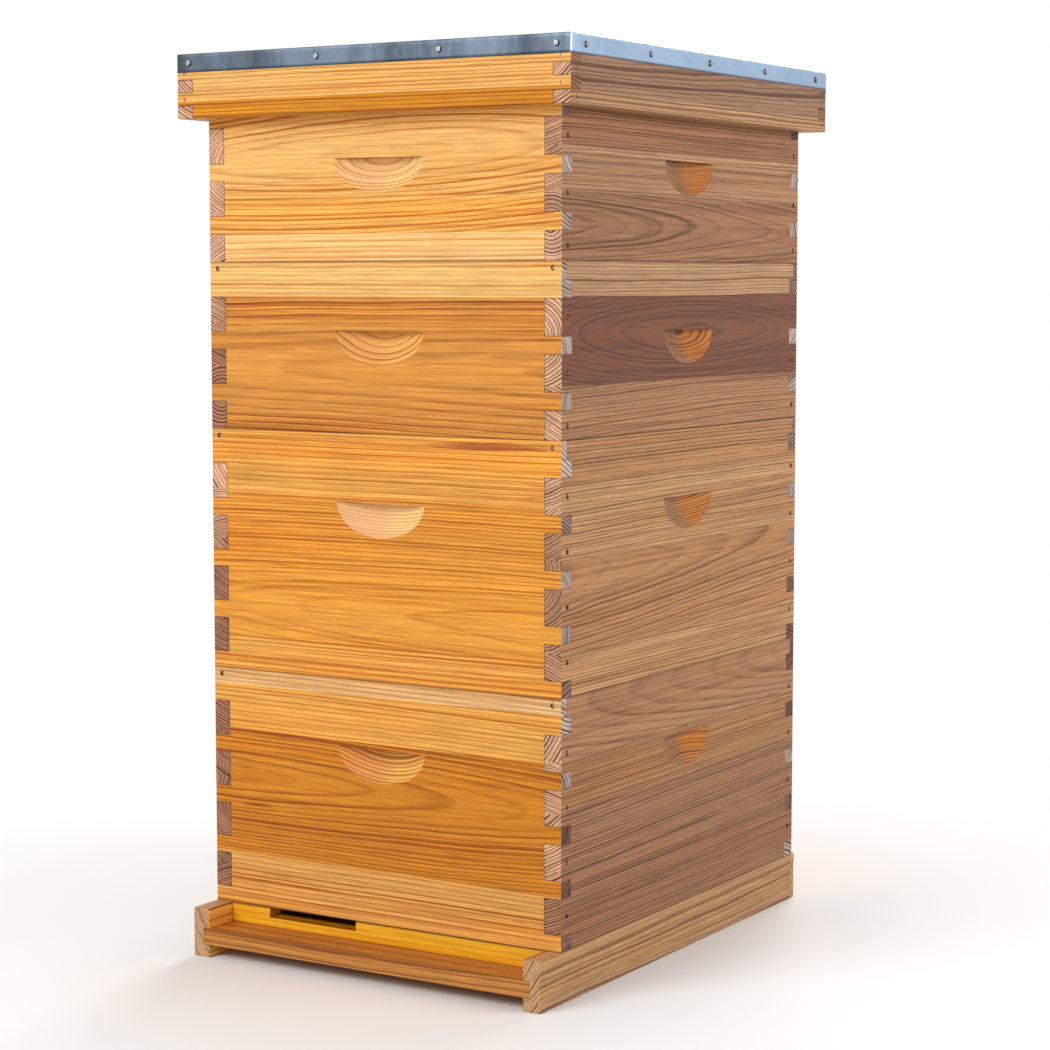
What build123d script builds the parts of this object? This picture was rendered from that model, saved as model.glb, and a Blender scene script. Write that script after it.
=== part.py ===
from build123d import *

import math
import os

# A ten-frame beehive: two deep brood boxes and two medium honey supers, stacked on a bottom board
# under an inner cover and a telescoping outer cover. Millimetres. +Z is up, the entrance faces -Y,
# and the origin is on the ground below the middle of the whole hive.

# ---- Boxes ----
box_width = 413.0  # outside, left to right
box_length = 505.0  # outside, front to back
board = 19.0  # thickness of every box, rim and rail board
deep_height = 244.0
medium_height = 168.0
top_finger = 35.0  # height of the uppermost finger of a front or back panel
side_finger = 35.5  # height of each finger of a side panel
end_finger = 17.0  # height of each lower finger of a front or back panel
rabbet_height = 17.0  # ledge inside the front and back panels, which carries the frames
rabbet_depth = 9.5
rest_sheet = 1.0  # folded metal strip that lines the ledge
rest_leg = 8.0  # how far that strip hangs down inside the panel
rest_clearance = 0.25  # at each end of the strip

# ---- Handholds, one in each wall of each box ----
handhold_width = 104.0
handhold_height = 34.0
handhold_depth = 13.0
handhold_drop = 68.0  # from the top of the box to the straight ledge

# ---- Frames ----
frame_count = 10
lift_frame_position = 8  # the frame that is lifted out, counted from the left
wall_gap = 5.75  # from a side wall to the nearest end bar
frame_gap = 1.5  # between neighbouring end bars
comb_gap = 9.5  # between neighbouring top bars
frame_foot_gap = 4.0  # from the bottom of the box up to the frames
frame_end_gap = 8.0  # from a front or back panel to an end bar
ear_end_gap = 1.7  # from the end of an ear to the back of its ledge
ear_height = 9.5
neck_width = 22.0  # the top bar's ears, and where the end bars clasp it
top_bar_height = 19.0
end_bar_thickness = 9.5
end_bar_waist = 28.0  # width of an end bar below its shoulders
shoulder_height = 75.0
shoulder_slope = 10.0  # height over which a shoulder narrows to the waist
bottom_bar_width = 19.0
bottom_bar_height = 9.5
foundation_thickness = 3.0
foundation_clearance = 0.1  # on each face, in the bars' grooves
groove_depth = 4.0

# ---- Bottom board and entrance ----
rail_height = 50.0
landing_depth = 38.5  # how far the rails and floor reach out in front of the boxes
rear_overhang = 6.0  # how far they reach out behind the boxes
rear_lap = 8.0  # part of the rear rail's thickness that covers the ends of the side rails
floor_drop = 20.0  # from the top of the rails to the floor
floor_thickness = 17.0
floor_board_count = 4
floor_lap = 6.0  # width of the half lap between neighbouring floor boards
dado_depth = 7.0
reducer_depth = 19.0
reducer_top_clearance = 0.6
reducer_end_clearance = 0.5
entrance_left = -139.0
entrance_right = -32.0
entrance_height = 9.8
small_entrance_width = 20.0
small_entrance_depth = 9.5
small_entrance_x = 90.0

# ---- Inner cover ----
inner_rim_height = 19.5
inner_rim_width = 44.0
inner_panel_thickness = 6.0
inner_panel_lift = 3.5  # from the underside of the rim to the panel
inner_groove = 10.0
inner_groove_clearance = 0.3
escape_length = 90.0  # oval hole in the middle of the panel
escape_width = 32.0
vent_width = 25.0  # notch in the front of the rim
vent_depth = 9.0

# ---- Outer cover ----
cover_side_play = 3.0  # between a box and the rim, at the left and right
cover_end_play = 2.5  # the same, at the front and back
rim_finger = 12.7
rim_finger_count = 5
deck_thickness = 18.4
cover_sheet = 0.6
cover_lip = 18.5  # how far the sheet is folded down over the rim

# ---- Fasteners ----
fastener_clearance = 0.05  # radial, around each shank and head
nail_radius = 1.4
nail_length = 45.0
nail_head_radius = 2.5
nail_head_height = 1.2
nail_sink = 2.0
nail_inset = 11.0  # from the end of a side panel
nail_drop = 7.0  # from the top of a box, for the nail in the uppermost finger
rail_nail_inset = 12.0  # from the rails' top and bottom, at the back of the bottom board
pin_radius = 1.0  # small nails, in the cover's rim
pin_length = 38.0
pin_head_radius = 1.7
pin_head_height = 0.8
pin_sink = 0.8
screw_radius = 1.5
screw_length = 16.0
screw_head_radius = 3.1
screw_head_height = 1.7
screw_head_round = 1.1
screw_slot_width = 0.7
screw_slot_depth = 0.7
front_screw_count = 4
side_screw_count = 5
front_screw_inset = 15.0  # from the rim's corner to the first screw
side_screw_inset = 27.0
middle_screw_shift = 14.0  # the middle front screws sit right of an even spacing
cut_margin = 5.0  # how far a cutting tool reaches past the surface it cuts

# ---- Sizes that follow from those above ----
box_inside_width = box_width - 2 * board
box_inside_length = box_length - 2 * board
frame_spacing = (box_inside_width - 2 * wall_gap + frame_gap) / frame_count
end_bar_width = frame_spacing - frame_gap
top_bar_width = frame_spacing - comb_gap
frame_length = box_inside_length - 2 * frame_end_gap
top_bar_length = box_inside_length + 2 * (rabbet_depth - ear_end_gap)
frame_top_drop = rabbet_height - rest_sheet - ear_height
floor_top = rail_height - floor_drop
board_front = -(box_length / 2 + landing_depth)
board_back = box_length / 2 + rear_overhang
cover_width = box_width + 2 * (cover_side_play + board)
cover_length = box_length + 2 * (cover_end_play + board)
rim_height = rim_finger * rim_finger_count
back_reach = cover_length / 2 + cover_sheet + screw_head_height
origin_shift = -(board_front + back_reach) / 2  # centres the whole hive on the origin


def block(x, y, z):
    """A box from its low and high limits along each axis."""
    size = [high - low for low, high in (x, y, z)]
    centre = [(low + high) / 2 for low, high in (x, y, z)]
    return Pos(*centre) * Box(*size)


def save(name, shapes):
    """Writes one node. The pieces in it stay separate solids."""
    solids = [solid for shape in shapes for solid in shape.solids()]
    export_step(Pos(0, origin_shift, 0) * Compound(solids), os.path.join("parts", name + ".step"))


def wall_places(width, length):
    """Places the four walls of a rectangle. A wall's own frame has its outside at y = 0, its
    inside towards +y, its middle at x = 0 and its foot at z = 0."""
    return {
        "front": Pos(0, -length / 2, 0),
        "back": Pos(0, length / 2, 0) * Rot(0, 0, 180),
        "left": Pos(-width / 2, 0, 0) * Rot(0, 0, -90),
        "right": Pos(width / 2, 0, 0) * Rot(0, 0, 90),
    }


def wall(length, height, notches):
    """A plank on edge, with the same notches in both ends. Each is (reach from the end, span)."""
    plank = block((-length / 2, length / 2), (0, board), (0, height))
    for reach, span in notches:
        notch = block((length / 2 - reach, length / 2 + cut_margin), (-cut_margin, board + cut_margin), span)
        plank -= [notch, mirror(notch, Plane.YZ)]
    return plank


def spread(low, high, count):
    """Evenly spaced places from low to high."""
    return [low + (high - low) * index / (count - 1) for index in range(count)]


# ---- Fasteners, each along +y from the surface at y = 0 ----


def rod(radius, start, end):
    """A round bar along y."""
    return Pos(0, (start + end) / 2, 0) * Rot(90, 0, 0) * Cylinder(radius, end - start)


def nail(radius, length, head_radius, head_height, sink, clearance=0.0):
    """A flat-headed nail. With a clearance it is the hole for that nail, open to the surface."""
    head_start = -cut_margin if clearance else sink
    head = rod(head_radius + clearance, head_start, sink + head_height)
    return head + rod(radius + clearance, sink, length + clearance)


def box_nail(clearance=0.0):
    return nail(nail_radius, nail_length, nail_head_radius, nail_head_height, nail_sink, clearance)


def rim_pin(clearance=0.0):
    return nail(pin_radius, pin_length, pin_head_radius, pin_head_height, pin_sink, clearance)


def screw():
    """A dome-headed screw with a cross slot. Its head bears on the surface."""
    head = rod(screw_head_radius, -screw_head_height, 0)
    rim_edge = head.edges().filter_by(GeomType.CIRCLE).sort_by(Axis.Y)[0]
    head = fillet(rim_edge, screw_head_round)
    slot = Pos(0, -screw_head_height, 0) * Box(
        screw_head_radius, 2 * screw_slot_depth, screw_slot_width
    )
    head -= [slot, Rot(0, 90, 0) * slot]
    return head + rod(screw_radius, 0, screw_length)


def screw_hole():
    return rod(screw_radius + fastener_clearance, -cut_margin, screw_length + fastener_clearance)


# ---- Boxes ----


def finger_spans(height):
    """Heights of the corner fingers of the side panels and of the end panels, from the top."""
    side_spans = []
    end_spans = [(height - top_finger, height)]
    top = height - top_finger
    while top > 0:
        low = max(top - side_finger, 0)
        side_spans.append((low, top))
        top = low
        if top > 0:
            low = max(top - end_finger, 0)
            end_spans.append((low, top))
            top = low
    return side_spans, end_spans


def handhold(height):
    """The scoop of a wheel with a rounded rim, up to a straight ledge. It cuts a wall in the wall's frame."""
    wheel = ((handhold_width / 2) ** 2 + handhold_depth**2) / (2 * handhold_depth)
    rim = (handhold_height**2 + handhold_depth**2) / (2 * handhold_depth)
    ledge = height - handhold_drop
    cutter = Pos(0, handhold_depth - wheel, ledge) * Torus(wheel - rim, rim)
    below_ledge = block(
        (-handhold_width, handhold_width),
        (-cut_margin, handhold_depth + cut_margin),
        (ledge - handhold_height - cut_margin, ledge),
    )
    return cutter & below_ledge


def end_panel(height):
    """A front or back panel, with the ledge for the frames along its top."""
    side_spans, _ = finger_spans(height)
    panel = wall(box_width, height, [(board, span) for span in side_spans])
    ledge = block(
        (-box_width, box_width),
        (board - rabbet_depth, board + cut_margin),
        (height - rabbet_height, height + cut_margin),
    )
    return panel - [ledge, handhold(height)]


def side_panel(height):
    """A left or right panel, whose top fingers also close the ends of the ledges."""
    _, end_spans = finger_spans(height)
    (top_low, _), lower_spans = end_spans[0], end_spans[1:]
    notches = [(board, span) for span in lower_spans]
    notches.append((board, (top_low, height - rabbet_height)))
    notches.append((board - rabbet_depth, (height - rabbet_height, height + cut_margin)))
    return wall(box_length, height, notches) - handhold(height)


def box_nail_places(height):
    """One nail through each side finger, and one through each uppermost end finger."""
    side_spans, _ = finger_spans(height)
    walls = wall_places(box_width, box_length)
    places = []
    for way in (-1, 1):
        side_x = way * (box_length / 2 - nail_inset)
        end_x = way * (box_width / 2 - board / 2)
        for name in ("left", "right"):
            places += [walls[name] * Pos(side_x, 0, (low + high) / 2) for low, high in side_spans]
        for name in ("front", "back"):
            places.append(walls[name] * Pos(end_x, 0, height - nail_drop))
    return places


def frame_rest(height):
    """A folded strip on a ledge, in the frame of the panel that carries it."""
    reach = box_inside_width / 2 - rest_clearance
    ledge = height - rabbet_height
    tread = block((-reach, reach), (board - rabbet_depth, board + rest_sheet), (ledge, ledge + rest_sheet))
    leg = block((-reach, reach), (board, board + rest_sheet), (ledge - rest_leg, ledge + rest_sheet))
    return tread + leg


def hive_box(name, height, base):
    """The four panels, the frame rests and the nails of one box whose foot is at height base."""
    walls = wall_places(box_width, box_length)
    panels = {"front": end_panel(height), "left": side_panel(height)}
    panels["back"] = panels["front"]
    panels["right"] = panels["left"]
    places = box_nail_places(height)
    holes = [place * box_nail(fastener_clearance) for place in places]
    lift = Pos(0, 0, base)
    for side, panel in panels.items():
        save(f"{name}_{side}_panel", [lift * (walls[side] * panel - holes)])
    rests = [lift * walls[side] * frame_rest(height) for side in ("front", "back")]
    save(f"{name}_frame_rests", rests)
    save(f"{name}_nails", [lift * place * box_nail() for place in places])


# ---- Frames, each hanging from z = 0 at its top and centred on x = 0 and y = 0 ----


def frame_top_bar():
    inside = frame_length / 2 - end_bar_thickness
    foot = -top_bar_height
    middle = block((-top_bar_width / 2, top_bar_width / 2), (-inside, inside), (foot, 0))
    neck = block((-neck_width / 2, neck_width / 2), (-frame_length / 2, frame_length / 2), (foot, 0))
    ears = block(
        (-neck_width / 2, neck_width / 2),
        (-top_bar_length / 2, top_bar_length / 2),
        (-ear_height, 0),
    )
    groove_half = foundation_thickness / 2 + foundation_clearance
    groove = block((-groove_half, groove_half), (-inside, inside), (foot, foot + groove_depth))
    return middle + neck + ears - groove


def frame_end_bar(height):
    """The front end bar: wide shoulders above a waist, forked over the top bar's neck."""
    shoulder = end_bar_width / 2
    waist = end_bar_waist / 2
    half_outline = [
        (shoulder, 0),
        (shoulder, -shoulder_height),
        (waist, -shoulder_height - shoulder_slope),
        (waist, -height),
    ]
    outline = half_outline + [(-x, z) for x, z in reversed(half_outline)]
    bar = extrude(Plane.XZ * make_face(Polyline(*outline, close=True)), end_bar_thickness / 2, both=True)
    fork = block(
        (-neck_width / 2, neck_width / 2),
        (-end_bar_thickness, end_bar_thickness),
        (-top_bar_height, cut_margin),
    )
    seat = block(
        (-bottom_bar_width / 2, bottom_bar_width / 2),
        (-end_bar_thickness, end_bar_thickness),
        (-height - cut_margin, bottom_bar_height - height),
    )
    return Pos(0, -(frame_length - end_bar_thickness) / 2, 0) * (bar - [fork, seat])


def frame_bottom_bar(height):
    inside = frame_length / 2 - end_bar_thickness
    top = bottom_bar_height - height
    half = bottom_bar_width / 2
    bar = block((-half, half), (-frame_length / 2, frame_length / 2), (-height, top))
    groove_half = foundation_thickness / 2 + foundation_clearance
    return bar - block((-groove_half, groove_half), (-inside, inside), (top - groove_depth, top))


def foundation(height):
    """The comb sheet, held in the grooves of the top and bottom bars."""
    half = foundation_thickness / 2
    inside = frame_length / 2 - end_bar_thickness
    low = bottom_bar_height - height - groove_depth
    return block((-half, half), (-inside, inside), (low, groove_depth - top_bar_height))


def hive_frames(name, box_height, base):
    """All frames of one box. One of them lifts out, so its pieces are nodes of their own."""
    height = box_height - frame_top_drop - frame_foot_gap
    end_bar = frame_end_bar(height)
    side_bars = [end_bar, Rot(0, 0, 180) * end_bar, frame_bottom_bar(height)]
    top_bar = frame_top_bar()
    sheet = foundation(height)
    bars = []
    sheets = []
    for position in range(1, frame_count + 1):
        x = (position - (frame_count + 1) / 2) * frame_spacing
        place = Pos(x, 0, base + box_height - frame_top_drop)
        if position == lift_frame_position:
            save(f"{name}_lift_frame_top_bar", [place * top_bar])
            save(f"{name}_lift_frame_side_bars", [place * bar for bar in side_bars])
            save(f"{name}_lift_frame_foundation", [place * sheet])
        else:
            bars += [place * bar for bar in [top_bar, *side_bars]]
            sheets.append(place * sheet)
    save(f"{name}_frames", bars)
    save(f"{name}_foundations", sheets)


# ---- Bottom board ----


def side_rail():
    """The right rail, with the dado that holds the floor."""
    outside = box_width / 2
    inside = outside - board
    rail = block((inside, outside), (board_front, board_back - rear_lap), (0, rail_height))
    dado = block(
        (inside - cut_margin, inside + dado_depth),
        (board_front - cut_margin, board_back),
        (floor_top - floor_thickness, floor_top),
    )
    return rail - dado


def rear_rail():
    """Its outer part laps the side rails' ends, and its inner part fits between them."""
    outside = box_width / 2
    inside = outside - board
    lap = block((-outside, outside), (board_back - rear_lap, board_back), (0, rail_height))
    body = block((-inside, inside), (board_back - board, board_back - rear_lap), (0, rail_height))
    dado = block(
        (-inside, inside),
        (board_back - board - cut_margin, board_back - board + dado_depth),
        (floor_top - floor_thickness, floor_top),
    )
    return lap + body - dado


def floor_boards():
    """Boards across the hive, half lapped to one another, from the landing to the rear dado."""
    half = box_width / 2 - board + dado_depth
    between_rails = box_width / 2 - board
    back = board_back - board + dado_depth
    floor_low = floor_top - floor_thickness
    middle = floor_top - floor_thickness / 2
    edges = spread(board_front, back, floor_board_count + 1)
    boards = []
    for front_edge, back_edge in zip(edges, edges[1:]):
        lapped_front = front_edge + (floor_lap if front_edge > board_front else 0)
        lapped_back = back_edge + (floor_lap if back_edge < back else 0)
        lower = block((-half, half), (front_edge, back_edge), (floor_low, middle))
        upper = block((-half, half), (lapped_front, lapped_back), (middle, floor_top))
        boards.append(lower + upper)
    corner = block(
        (between_rails, half + cut_margin),
        (back - dado_depth, back + cut_margin),
        (0, rail_height),
    )
    boards[-1] -= [corner, mirror(corner, Plane.YZ)]
    return boards


def rail_nail_places():
    """Two nails at each back corner, through the lap into the end of a side rail."""
    back = Pos(0, board_back, 0) * Rot(0, 0, 180)
    x = box_width / 2 - board / 2
    heights = (rail_nail_inset, rail_height - rail_nail_inset)
    return [back * Pos(way * x, 0, z) for way in (-1, 1) for z in heights]


def bottom_board():
    places = rail_nail_places()
    holes = [place * box_nail(fastener_clearance) for place in places]
    rail = side_rail()
    save("bottom_board_right_rail", [rail - holes])
    save("bottom_board_left_rail", [mirror(rail, Plane.YZ) - holes])
    save("bottom_board_rear_rail", [rear_rail() - holes])
    save("bottom_board_floor", floor_boards())
    save("bottom_board_nails", [place * box_nail() for place in places])


def entrance_reducer():
    """The bar between the rails, with the wide entrance in its top edge and a small one behind."""
    half = box_width / 2 - board - reducer_end_clearance
    front = -box_length / 2
    back = front + reducer_depth
    top = rail_height - reducer_top_clearance
    bar = block((-half, half), (front, back), (floor_top, top))
    wide = block(
        (entrance_left, entrance_right),
        (front - cut_margin, back + cut_margin),
        (top - entrance_height, top + cut_margin),
    )
    small = block(
        (small_entrance_x - small_entrance_width / 2, small_entrance_x + small_entrance_width / 2),
        (back - small_entrance_depth, back + cut_margin),
        (floor_top - cut_margin, top + cut_margin),
    )
    save("entrance_reducer", [bar - [wide, small]])


# ---- Covers ----


def inner_cover(base):
    """A thin panel with an oval hole, held in the grooves of four flat sticks."""
    half_x = box_width / 2
    half_y = box_length / 2
    open_x = half_x - inner_rim_width
    open_y = half_y - inner_rim_width
    panel_low = base + inner_panel_lift
    panel_span = (panel_low, panel_low + inner_panel_thickness)
    high = base + inner_rim_height
    groove = block(
        (-open_x - inner_groove, open_x + inner_groove),
        (-open_y - inner_groove, open_y + inner_groove),
        panel_span,
    )
    vent = block(
        (-vent_width / 2, vent_width / 2),
        (-half_y - cut_margin, -open_y + cut_margin),
        (high - vent_depth, high + cut_margin),
    )
    long_stick = block((open_x, half_x), (-half_y, half_y), (base, high))
    short_stick = block((-open_x, open_x), (-half_y, -open_y), (base, high))
    sticks = [
        long_stick - groove,
        Rot(0, 0, 180) * long_stick - groove,
        short_stick - [groove, vent],
        Rot(0, 0, 180) * short_stick - groove,
    ]
    save("inner_cover_rim", sticks)
    reach = inner_groove - inner_groove_clearance
    panel = block((-open_x - reach, open_x + reach), (-open_y - reach, open_y + reach), panel_span)
    escape = extrude(Plane.XY * SlotOverall(escape_length, escape_width), high + cut_margin)
    save("inner_cover_panel", [panel - escape])


def rim_spans():
    """Heights of the rim's fingers, from the bottom. Side and end fingers take turns."""
    levels = spread(0, rim_height, rim_finger_count + 1)
    spans = list(zip(levels, levels[1:]))
    return spans[0::2], spans[1::2]


def rim_pin_places():
    """Small nails through every finger that the folded sheet leaves bare."""
    side_spans, end_spans = rim_spans()
    walls = wall_places(cover_width, cover_length)
    bare = rim_height - cover_lip
    places = []
    for names, spans, width in (
        (("left", "right"), side_spans, cover_length),
        (("front", "back"), end_spans, cover_width),
    ):
        heights = [(low + high) / 2 for low, high in spans if (low + high) / 2 < bare]
        x = (width - board) / 2
        places += [walls[name] * Pos(way * x, 0, z) for name in names for way in (-1, 1) for z in heights]
    return places


def screw_places():
    """Screws along the folded sheet, on its outside."""
    walls = wall_places(cover_width + 2 * cover_sheet, cover_length + 2 * cover_sheet)
    z = rim_height + cover_sheet - cover_lip / 2
    front_reach = cover_width / 2 - front_screw_inset
    side_reach = cover_length / 2 - side_screw_inset
    first, *middle, last = spread(-front_reach, front_reach, front_screw_count)
    front_xs = [first, *(x + middle_screw_shift for x in middle), last]
    side_xs = spread(-side_reach, side_reach, side_screw_count)
    places = [walls[name] * Pos(x, 0, z) for name in ("front", "back") for x in front_xs]
    places += [walls[name] * Pos(x, 0, z) for name in ("left", "right") for x in side_xs]
    return places


def cover_skin():
    """The sheet over the deck, folded down over the rim on all four sides."""
    half_x = cover_width / 2
    half_y = cover_length / 2
    top = rim_height + cover_sheet
    outside = block(
        (-half_x - cover_sheet, half_x + cover_sheet),
        (-half_y - cover_sheet, half_y + cover_sheet),
        (top - cover_lip, top),
    )
    return outside - block((-half_x, half_x), (-half_y, half_y), (top - cover_lip, rim_height))


def outer_cover(deck_foot):
    """The telescoping cover. Its deck rests on the inner cover and its rim hangs lower."""
    base = deck_foot + deck_thickness - rim_height
    lift = Pos(0, 0, base)
    side_spans, end_spans = rim_spans()
    end_rim = wall(cover_width, rim_height, [(board, span) for span in side_spans])
    side_rim = wall(cover_length, rim_height, [(board, span) for span in end_spans])
    pins = rim_pin_places()
    screws = screw_places()
    holes = [place * rim_pin(fastener_clearance) for place in pins]
    holes += [place * screw_hole() for place in screws]
    for name, place in wall_places(cover_width, cover_length).items():
        rim = end_rim if name in ("front", "back") else side_rim
        save(f"outer_cover_{name}_rim", [lift * (place * rim - holes)])
    inside_x = cover_width / 2 - board
    inside_y = cover_length / 2 - board
    deck = block((-inside_x, inside_x), (-inside_y, inside_y), (rim_height - deck_thickness, rim_height))
    save("outer_cover_deck", [lift * (deck - holes)])
    save("outer_cover_sheet", [lift * (cover_skin() - holes)])
    save("outer_cover_nails", [lift * place * rim_pin() for place in pins])
    save("outer_cover_screws", [lift * place * screw() for place in screws])


def main():
    os.makedirs("parts", exist_ok=True)
    bottom_board()
    entrance_reducer()
    base = rail_height
    boxes = {
        "brood_lower": deep_height,
        "brood_upper": deep_height,
        "super_lower": medium_height,
        "super_upper": medium_height,
    }
    for name, height in boxes.items():
        hive_box(name, height, base)
        hive_frames(name, height, base)
        base += height
    inner_cover(base)
    outer_cover(base + inner_rim_height)


main()
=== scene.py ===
import math
import random
from collections import namedtuple

import bpy
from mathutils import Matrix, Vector


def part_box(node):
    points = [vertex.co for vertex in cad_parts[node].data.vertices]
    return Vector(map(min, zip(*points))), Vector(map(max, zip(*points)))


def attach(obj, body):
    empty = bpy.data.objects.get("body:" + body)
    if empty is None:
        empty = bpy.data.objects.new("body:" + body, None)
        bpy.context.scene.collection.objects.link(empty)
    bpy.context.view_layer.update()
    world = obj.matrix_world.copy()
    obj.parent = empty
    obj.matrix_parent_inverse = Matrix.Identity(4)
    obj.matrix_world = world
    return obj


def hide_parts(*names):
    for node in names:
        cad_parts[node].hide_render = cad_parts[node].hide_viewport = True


# The look of a ten-frame beehive: waxed softwood boxes with finger joints and scooped handholds, a
# galvanised cover, and frames of beeswax foundation. Metres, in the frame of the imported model: +Z is
# up and the entrance faces -Y. Colours are written from 0 to 255, as they look on the object, and
# tints as factors of red, green and blue.

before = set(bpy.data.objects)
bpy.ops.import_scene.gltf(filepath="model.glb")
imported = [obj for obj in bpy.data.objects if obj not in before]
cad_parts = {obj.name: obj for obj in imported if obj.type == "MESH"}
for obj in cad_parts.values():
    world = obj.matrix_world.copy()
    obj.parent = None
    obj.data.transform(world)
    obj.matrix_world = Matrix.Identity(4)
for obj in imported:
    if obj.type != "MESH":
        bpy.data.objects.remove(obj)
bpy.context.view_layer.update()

MM = 0.001
AXES = "XYZ"
BOXES = ("brood_lower", "brood_upper", "super_lower", "super_upper")
BOARD = 19.0 * MM
HANDHOLD_DROP = 68.0 * MM  # from the top of a box to the ledge of its handholds

# Finger joints: the height of the uppermost finger and of the other board's fingers, and the step
# from one finger to the next.
Joint = namedtuple("Joint", "first finger step")
BOX_JOINT = Joint(35.0 * MM, 35.5 * MM, 52.5 * MM)
COVER_JOINT = Joint(12.7 * MM, 12.7 * MM, 25.4 * MM)


# ---- Short calls for building node trees ----


def paint(red, green, blue):
    """A colour as seen, from 0 to 255, as the linear colour that a shader takes."""
    linear = []
    for level in (red / 255, green / 255, blue / 255):
        linear.append(level / 12.92 if level <= 0.04045 else ((level + 0.055) / 1.055) ** 2.4)
    return (*linear, 1.0)


class Graph:
    """A node tree under construction. A value is a number, a tuple or another node's output."""

    def __init__(self, tree):
        self.tree = tree

    def feed(self, socket, value):
        if isinstance(value, bpy.types.NodeSocket):
            self.tree.links.new(value, socket)
        else:
            socket.default_value = value

    def add(self, kind, inputs=None, **settings):
        node = self.tree.nodes.new(kind)
        for name, value in settings.items():
            setattr(node, name, value)
        for name, value in (inputs or {}).items():
            self.feed(node.inputs[name], value)
        return node

    def math(self, operation, *values):
        node = self.add("ShaderNodeMath", operation=operation)
        for socket, value in zip(node.inputs, values):
            self.feed(socket, value)
        return node.outputs[0]

    def plus(self, *values):
        total = values[0]
        for value in values[1:]:
            total = self.math("ADD", total, value)
        return total

    def times(self, *values):
        total = values[0]
        for value in values[1:]:
            total = self.math("MULTIPLY", total, value)
        return total

    def minus(self, first, second):
        return self.math("SUBTRACT", first, second)

    def size(self, value):
        return self.math("ABSOLUTE", value)

    def more(self, first, second):
        """Whether the first is more than the second, in geometry nodes."""
        return self.add("FunctionNodeCompare", {"A": first, "B": second}, operation="GREATER_THAN").outputs[0]

    def swing(self, value, amount=1.0):
        """A noise of 0 to 1 as -amount to amount."""
        return self.math("MULTIPLY_ADD", value, 2 * amount, -amount)

    def fade(self, value, start, end, first=0.0, last=1.0):
        """Goes smoothly from first to last while the value goes from start to end."""
        node = self.add("ShaderNodeMapRange", interpolation_type="SMOOTHSTEP")
        for socket, given in zip(node.inputs, (value, start, end, first, last)):
            self.feed(socket, given)
        return node.outputs[0]

    def combine(self, x, y, z):
        return self.add("ShaderNodeCombineXYZ", {"X": x, "Y": y, "Z": z}).outputs[0]

    def split(self, vector):
        return self.add("ShaderNodeSeparateXYZ", {0: vector}).outputs

    def noise(self, vector, detail=2.0, roughness=0.5, scale=1.0):
        inputs = {"Vector": vector, "Scale": scale, "Detail": detail, "Roughness": roughness}
        return self.add("ShaderNodeTexNoise", inputs).outputs[0]

    def chance(self, number):
        """A random value of 0 to 1 for each whole number."""
        return self.add("ShaderNodeTexWhiteNoise", {"W": number}, noise_dimensions="1D").outputs[0]

    def mix(self, factor, first, second, blend="MIX"):
        """A colour between two. Its sockets share their names with other types', so they have numbers."""
        inputs = {0: factor, 6: first, 7: second}
        return self.add("ShaderNodeMix", inputs, data_type="RGBA", blend_type=blend).outputs[2]

    def tint(self, factor, colour, tint):
        """A colour multiplied by a tint, as far as the factor says."""
        return self.mix(factor, colour, tint, "MULTIPLY")

    def choose(self, factor, first, second):
        """A plain number between first and second."""
        inputs = {0: factor, 2: first, 3: second}
        return self.add("ShaderNodeMix", inputs, data_type="FLOAT").outputs[0]

    def shade(self, colour, amount):
        """A colour made lighter or darker by a factor."""
        node = self.add("ShaderNodeVectorMath", operation="SCALE")
        self.feed(node.inputs[0], colour)
        self.feed(node.inputs["Scale"], amount)
        return node.outputs[0]

    def ramp(self, position, stops, interpolation="LINEAR"):
        node = self.add("ShaderNodeValToRGB", {"Fac": position})
        elements = node.color_ramp.elements
        node.color_ramp.interpolation = interpolation
        while len(elements) < len(stops):
            elements.new(1.0)
        while len(elements) > len(stops):
            elements.remove(elements[-1])
        for element, (place, colour) in zip(elements, stops):
            element.position = place
            element.color = colour
        return node.outputs


def new_material(name):
    """An empty material, its graph and its surface shader."""
    material = bpy.data.materials.new(name)
    material.use_nodes = True
    return material, Graph(material.node_tree), material.node_tree.nodes["Principled BSDF"]


def bump(graph, shader, height, distance, strength=0.6):
    inputs = {"Height": height, "Strength": strength, "Distance": distance}
    graph.feed(shader.inputs["Normal"], graph.add("ShaderNodeBump", inputs).outputs[0])


# ---- Wood as a solid, which the shape of each board cuts ----

WOOD_INPUTS = (
    "Along", "Up", "Deep", "Pith Up", "Pith Deep", "Ring", "Lean Up", "Lean Deep", "Sweep", "Wave", "Seed"
)
WOOD_OUTPUTS = ("Late", "Rings", "Steep", "Band", "Streak", "Fibre", "Fleck")

# How dark a year's ring is from its early wood to its late wood.
RING_PROFILE = ((0.0, 0.0), (0.30, 0.06), (0.60, 0.35), (0.82, 1.0), (0.93, 0.95), (1.0, 0.0))

# Noises in the wood: changes a metre along the grain and across it, detail, and roughness.
BEND = (1.9, 9.0, 2.0, 0.5)
RIPPLE = (9.0, 60.0, 2.0, 0.5)
BANDS = (0.9, 24.0, 3.0, 0.5)
STREAKS = (2.2, 260.0, 3.0, 0.65)
FIBRES = (16.0, 420.0, 4.0, 0.7)
FLECKS = (14.0, 420.0, 1.0, 0.5)
RIPPLE_SHARE = 0.20  # how far rings ripple, as a share of how far they bend
WIDTH_CHANGES = 60.0  # changes in the rings' width over a metre from the pith
WIDTH_SWING = 1.1  # how many rings these shift the others by
PALEST_YEAR = 0.55  # how dark the late wood of the palest year is
YEAR_SWING = 0.7  # and how much darker the darkest year's is
STREAK_EDGE = (0.40, 0.64)  # where streaks start in their noise and where they are full
FLECK_EDGE = (0.70, 0.78)


def grey(level):
    return (level, level, level, 1.0)


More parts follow.
